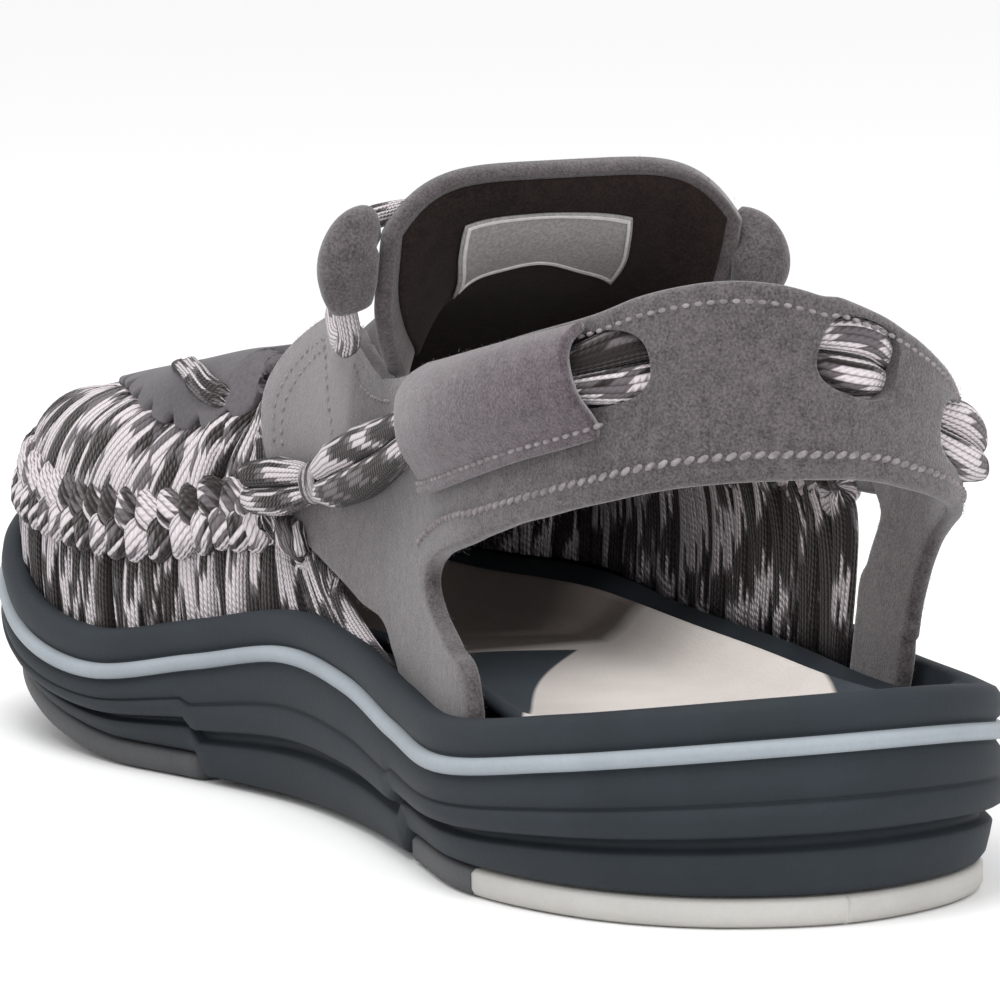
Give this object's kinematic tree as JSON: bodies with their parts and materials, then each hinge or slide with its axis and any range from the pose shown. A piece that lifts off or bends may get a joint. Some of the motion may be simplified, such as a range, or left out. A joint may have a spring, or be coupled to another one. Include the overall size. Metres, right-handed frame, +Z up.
{
  "type": "rope sandal",
  "caption": "Closed-toe sandal, right foot: woven cord forefoot on a foam sole, suede heel strap with threaded cords, padded tongue.",
  "frame": {"origin": "middle of the bounding box in plan, on the floor the sole stands on", "axes": "+X to the toe, +Y to the inner (medial) side of the foot, +Z up"},
  "size_m": [0.292, 0.1025, 0.1073],
  "materials": {
    "midsole_foam": "satin moulded foam",
    "footbed_lining": "matte lining",
    "dark_rubber": "matte rubber",
    "light_rubber": "matte rubber",
    "woven_cord": "braided cord",
    "suede": "napped suede",
    "smooth_trim": "smooth leather",
    "tongue_lining": "brushed lining"
  },
  "bodies": {
    "root": {"midsole": "midsole_foam", "footbed": "footbed_lining", "outsole_heel": "light_rubber", "outsole_heel_front": "dark_rubber", "outsole_forefoot": "dark_rubber", "cord_cage": "woven_cord", "vamp_strip": "smooth_trim", "tongue": "tongue_lining", "heel_strap": "suede", "quarter_panel": "suede", "flap_medial": "suede", "flap_lateral": "suede", "heel_cord_upper": "woven_cord", "heel_cord_lower": "woven_cord", "tab_medial": "suede", "tab_lateral": "suede", "instep_cord": "woven_cord"}
  },
  "joints": []
}
